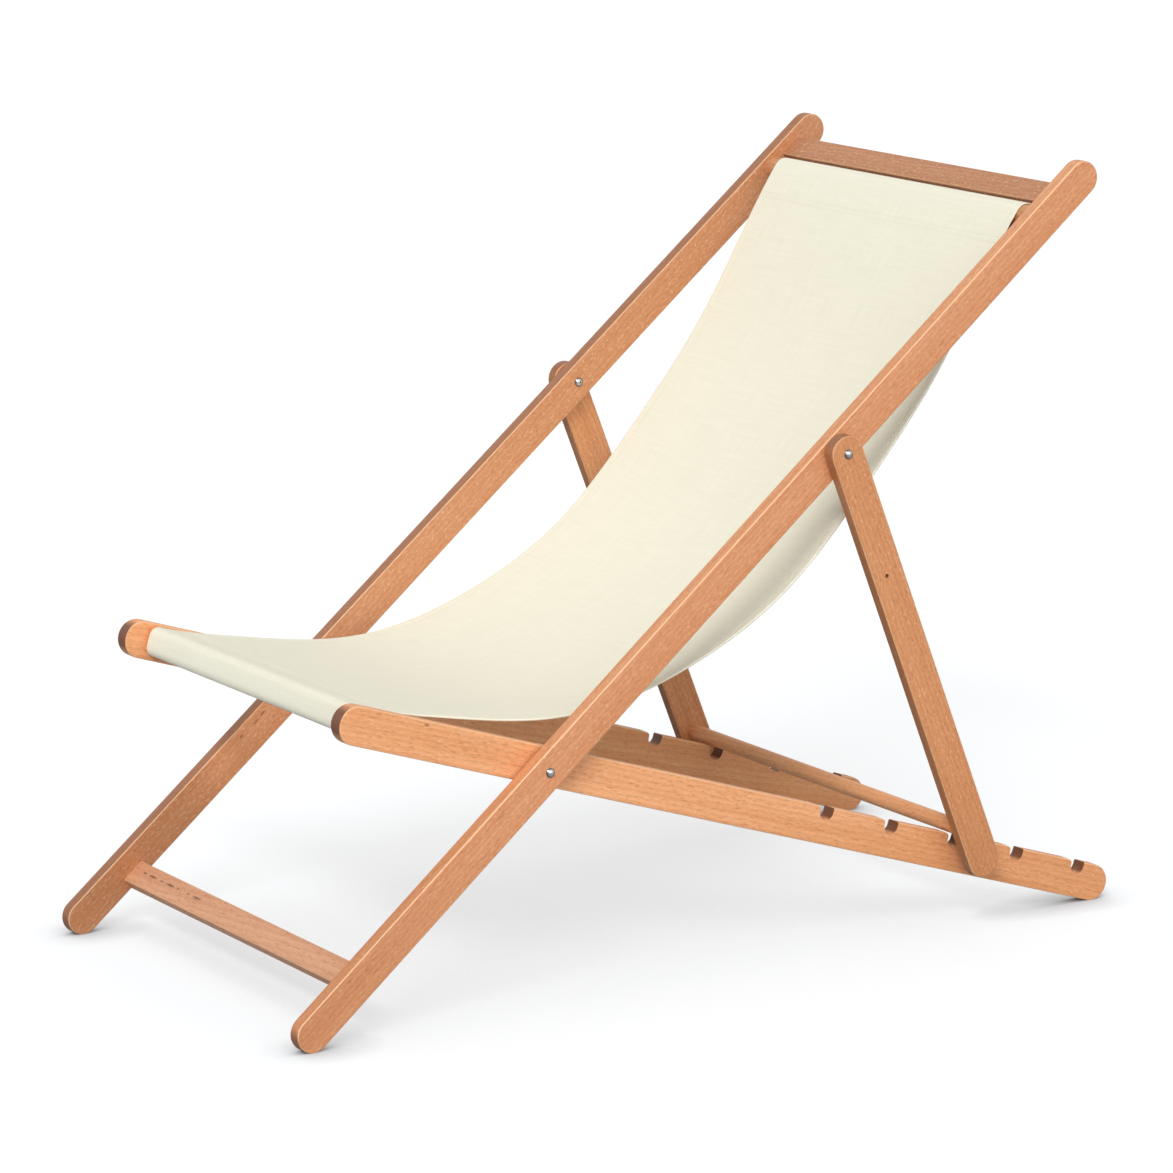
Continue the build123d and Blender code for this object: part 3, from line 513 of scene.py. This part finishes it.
relief = put(tree, "ShaderNodeMath", {0: weave.outputs[0], 1: 0.25, 2: slub_share.outputs[0]},
             operation="MULTIPLY_ADD")
cream = put(tree, "ShaderNodeMix", {0: slub_share.outputs[0], 6: linear("#f0ebd6"), 7: linear("#f4efdb")},
            data_type="RGBA")
bump = put(tree, "ShaderNodeBump", {"Height": relief.outputs[0], "Strength": 0.18, "Distance": 0.0003})
skin = put(tree, "ShaderNodeBsdfPrincipled", {"Base Color": cream.outputs[2], "Roughness": 0.88, "IOR": 1.45,
                                              "Sheen Weight": 0.08, "Sheen Roughness": 0.6,
                                              "Normal": bump.outputs[0]})
put(tree, "ShaderNodeOutputMaterial", {"Surface": skin.outputs[0]})
sling.data.materials.append(canvas)

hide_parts("sling")
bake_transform(sling)

# ---------------------------------------------------------------- stitching
# Lockstitch in cream cotton thread along both hems and twice across each pocket, showing on
# both sides of the cloth as short stitches with a small gap between them.

STITCH, PITCH, THREAD_HALF = 0.0032, 0.0040, 0.00028
# Share of the hang without hem stitches, and the pocket rows below the seam and behind the rail.
STITCH_START = 0.062
HEAD_ROWS, FRONT_ROWS = (0.010, 0.016), (0.030, 0.036)
ROW_INSET = 0.006


def stitches(name, centres, along, across, up):
    """Mesh of many stitches: a four-sided bar of four rings, bowed up in its middle, at each centre.

    Points are the centre plus the along, across and up axes times the stitch's own small shape.
    """
    reach = np.array([-0.5, -0.2, 0.2, 0.5]) * STITCH
    bow = np.array([-0.4, 0.55, 0.55, -0.4]) * THREAD_HALF
    ring = np.array([[1, 0], [0, 1], [-1, 0], [0, -1]]) * np.array([1.0, 0.8]) * THREAD_HALF
    shape_along = np.repeat(reach, 4)
    shape_across = np.tile(ring[:, 0], 4)
    shape_up = np.tile(ring[:, 1], 4) + np.repeat(bow, 4)
    points = (centres[:, None] + shape_along[None, :, None] * along[:, None]
              + shape_across[None, :, None] * across[:, None] + shape_up[None, :, None] * up[:, None])
    bar_faces = np.array([[4 * r + k, 4 * r + (k + 1) % 4, 4 * r + 4 + (k + 1) % 4, 4 * r + 4 + k]
                          for r in range(3) for k in range(4)] + [[3, 2, 1, 0], [12, 13, 14, 15]])
    faces = (np.arange(len(centres))[:, None, None] * 16 + bar_faces[None]).reshape(-1, 4)
    mesh = bpy.data.meshes.new(name)
    mesh.from_pydata(points.reshape(-1, 3).tolist(), [], faces.tolist())
    mesh.polygons.foreach_set("use_smooth", np.ones(len(mesh.polygons), bool))
    made = bpy.data.objects.new(name, mesh)
    bpy.context.scene.collection.objects.link(made)
    return made


def step_at(lengths):
    """Nearest whole step of the sling's line for lengths along it."""
    return np.clip(np.round(np.asarray(lengths) / fine_run[-1] * steps).astype(int), 0, steps)


hem_from, hem_to = head_run + STITCH_START * hang_run[-1], head_run + (1 - STITCH_START) * hang_run[-1]
hem_lengths = np.arange(hem_from, hem_to, PITCH)
hem_steps = step_at(hem_lengths)
count = len(hem_steps)
tangent = np.concatenate([np.zeros((count, 1)), slope[hem_steps]], 1)
normal = np.concatenate([np.zeros((count, 1)), outward[hem_steps]], 1)
sideways = np.tile([1.0, 0.0, 0.0], (count, 1))
rows = []
# Along the hems, on the upper side 0.2 mm deep in the groove, and on the hem below.
for hem_side in (1.0, -1.0):
    for face in (1.0, -1.0):
        level = CLOTH / 2 - 0.0002 if face > 0 else -CLOTH / 2 - HEM_THICK
        spot = canvas_point(hem_steps, hem_side * np.ones(count), SEAM_FROM_EDGE * np.ones(count),
                            level * np.ones(count))
        rows.append((spot, tangent, sideways, face * normal))

# Across the pockets, two rows 6 mm apart, on the hanging cloth and on the lap behind it.
seam_lengths = [head_run + SEAM_DROP + row for row in HEAD_ROWS]
seam_lengths += [head_run + hang_run[-1] - row for row in FRONT_ROWS]
for seam_length in seam_lengths:
    seam_step = step_at([seam_length])[0]
    half = half_width[seam_step] - ROW_INSET
    spots = np.arange(-half, half, PITCH)
    seam_steps = np.full(len(spots), seam_step)
    tangent = np.tile([1.0, 0.0, 0.0], (len(spots), 1))
    sideways = np.tile(np.concatenate([[0.0], slope[seam_step]]), (len(spots), 1))
    normal = np.tile(np.concatenate([[0.0], outward[seam_step]]), (len(spots), 1))
    for face in (1.0, -1.0):
        level = CLOTH / 2 if face > 0 else -CLOTH / 2 - LAYER
        inset_by = half_width[seam_step] - np.abs(spots)
        place_at = canvas_point(seam_steps, np.where(spots < 0, -1.0, 1.0), inset_by,
                                level * np.ones(len(spots)))
        rows.append((place_at, tangent, sideways, face * normal))

stitching = stitches("sling_stitching", *(np.concatenate([row[k] for row in rows]) for k in range(4)))

# Cream cotton thread, twisted of three plies: matt, with a fine slanting pattern, drawn at about
# 0.6 mm so that it shows.
cotton_thread, tree = blank("cream cotton thread")
place = put(tree, "ShaderNodeTexCoord").outputs["Object"]
plies = put(tree, "ShaderNodeTexWave", {"Vector": place, "Scale": 520.0, "Distortion": 1.0},
            bands_direction="DIAGONAL")
twist = put(tree, "ShaderNodeMix", {0: plies.outputs["Fac"], 6: linear("#e9e3cc"), 7: linear("#f4efdb")},
            data_type="RGBA")
ply_bump = put(tree, "ShaderNodeBump", {"Height": plies.outputs["Fac"], "Strength": 0.3, "Distance": 0.0001})
skin = put(tree, "ShaderNodeBsdfPrincipled", {"Base Color": twist.outputs[2], "Roughness": 0.8, "IOR": 1.45,
                                              "Normal": ply_bump.outputs[0]})
put(tree, "ShaderNodeOutputMaterial", {"Surface": skin.outputs[0]})
stitching.data.materials.append(cotton_thread)
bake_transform(stitching)

# ---------------------------------------------------------------- studio
# A plain white floor under a weak soft light, three soft keys side by side from the right of
# the camera, whose shade from the near long rail lies along the canvas behind it, a broad low
# light from the chair's left for its rails, a small spot under the seat's front, and the camera.

FLOOR_HALF = 40
floor_corners = [(x * FLOOR_HALF, y * FLOOR_HALF, 0) for x, y in ((-1, -1), (1, -1), (1, 1), (-1, 1))]
floor_mesh = bpy.data.meshes.new("studio_floor")
floor_mesh.from_pydata(floor_corners, [], [(0, 1, 2, 3)])
floor = bpy.data.objects.new("studio_floor", floor_mesh)
bpy.context.scene.collection.objects.link(floor)
white_paint, tree = blank("white studio floor paint")
path = put(tree, "ShaderNodeLightPath")
# Seen directly the floor is lit paper: a third of its white is thrown-back light, and the rest
# glows as far as a place is open to the room, so that a soft shade lies straight below the
# chair and a darker one round its feet. For light that it throws back it is mid grey.
dull = put(tree, "ShaderNodeBsdfDiffuse", {"Color": (0.48, 0.50, 0.53, 1)})
paper = put(tree, "ShaderNodeBsdfDiffuse", {"Color": (0.27, 0.28, 0.295, 1)})
room = put(tree, "ShaderNodeAmbientOcclusion", {"Distance": 0.9}, samples=6)
near = put(tree, "ShaderNodeAmbientOcclusion", {"Distance": 0.05}, samples=6)
glow = put(tree, "ShaderNodeMath", {0: room.outputs["AO"], 1: 0.29, 2: 0.52}, operation="MULTIPLY_ADD")
glow = put(tree, "ShaderNodeMath", {0: glow.outputs[0], 1: near.outputs["AO"]}, operation="MULTIPLY")
lift = put(tree, "ShaderNodeEmission", {"Color": (1, 1, 1, 1), "Strength": glow.outputs[0]})
both = put(tree, "ShaderNodeAddShader", {0: paper.outputs[0], 1: lift.outputs[0]})
seen = put(tree, "ShaderNodeMixShader", {0: path.outputs["Is Camera Ray"], 1: dull.outputs[0],
                                         2: both.outputs[0]})
put(tree, "ShaderNodeOutputMaterial", {"Surface": seen.outputs[0]})
floor_mesh.materials.append(white_paint)

world = bpy.data.worlds.new("white studio")
bpy.context.scene.world = world
world.use_nodes = True
tree = world.node_tree
tree.nodes.clear()
path = put(tree, "ShaderNodeLightPath")
# The room is seen, mirrored and refracted white, and lights the chair as a weak cool air.
shown = put(tree, "ShaderNodeMath", {0: path.outputs["Is Camera Ray"], 1: path.outputs["Is Glossy Ray"]},
            operation="MAXIMUM")
shown = put(tree, "ShaderNodeMath", {0: shown.outputs[0], 1: path.outputs["Is Transmission Ray"]},
            operation="MAXIMUM")
air = put(tree, "ShaderNodeBackground", {"Color": (0.95, 0.995, 1, 1), "Strength": 0.37})
white = put(tree, "ShaderNodeBackground", {"Color": (1, 1, 1, 1), "Strength": 1.0})
sky = put(tree, "ShaderNodeMixShader", {0: shown.outputs[0], 1: air.outputs[0], 2: white.outputs[0]})
put(tree, "ShaderNodeOutputWorld", {"Surface": sky.outputs[0]})


def lamp(name, kind, strength, towards):
    """A lamp of one kind that shines in a direction; its size or place is set by the caller."""
    made = bpy.data.objects.new(name, bpy.data.lights.new(name, kind))
    made.data.energy = strength
    back_axis = -np.array(towards, float) / np.linalg.norm(towards)
    right_axis = np.cross([0.0, 1.0, 0.0], back_axis)
    right_axis /= np.linalg.norm(right_axis)
    up_axis = np.cross(back_axis, right_axis)
    made.matrix_world = Matrix(np.stack([right_axis, up_axis, back_axis], 1).tolist()).to_4x4()
    bpy.context.scene.collection.objects.link(made)
    return made


# Suns: strength, angle in degrees, which is wider for a softer light, and direction.
for name, strength, spread, towards in (
        ("overhead_softbox", 0.15, 40, (0.0, 0.0, -1.0)),
        ("key_softbox_front", 0.66, 11, (-0.43, 0.588, -0.684)),
        ("key_softbox_middle", 0.66, 11, (-0.56, 0.540, -0.627)),
        ("key_softbox_side", 0.66, 11, (-0.67, 0.485, -0.562)),
        ("side_softbox", 1.40, 70, (-1.0, 0.1, -0.15))):
    lamp(name, "SUN", strength, towards).data.angle = radians(spread)

# The spot reaches under the seat's front, to the part of the right long rail that the seat shades.
SPOT_AT, SPOT_ON = np.array([0.946, -1.175, 0.141]), np.array([-0.254, -0.275, 0.220])
front_spot = lamp("front_spot", "SPOT", 80, SPOT_ON - SPOT_AT)
front_spot.location = SPOT_AT
front_spot.data.spot_size = radians(8)
front_spot.data.spot_blend = 1.0
front_spot.data.shadow_soft_size = 0.06

# Camera fitted to the photograph: its place, turn, focal length and shift, the last two in pixels.
CAMERA_AT = (4.6019, -2.9362, 1.5672)
AZIMUTH, ELEVATION, ROLL = radians(57.594), radians(12.146), radians(-0.153)
FRAME_PX, FOCAL_PX, SHIFT_RIGHT_PX, SHIFT_UP_PX = 1173, 4992.2, 3.04, -7.17
SENSOR_MM = 36.0
aim = -np.array([sin(AZIMUTH) * cos(ELEVATION), -cos(AZIMUTH) * cos(ELEVATION), sin(ELEVATION)])
level_right = np.array([cos(AZIMUTH), sin(AZIMUTH), 0.0])
level_up = np.cross(level_right, aim)
camera_right = cos(ROLL) * level_right + sin(ROLL) * level_up
camera_up = -sin(ROLL) * level_right + cos(ROLL) * level_up
lens = bpy.data.cameras.new("studio_camera")
lens.sensor_width = SENSOR_MM
lens.lens = FOCAL_PX / FRAME_PX * SENSOR_MM
lens.shift_x = SHIFT_RIGHT_PX / FRAME_PX
lens.shift_y = SHIFT_UP_PX / FRAME_PX
lens.clip_end = 200
camera = bpy.data.objects.new("studio_camera", lens)
stand = Matrix(np.stack([camera_right, camera_up, -aim], 1).tolist()).to_4x4()
stand.translation = CAMERA_AT
camera.matrix_world = stand
bpy.context.scene.collection.objects.link(camera)
bpy.context.scene.camera = camera
bpy.context.scene.view_settings.view_transform = "Standard"
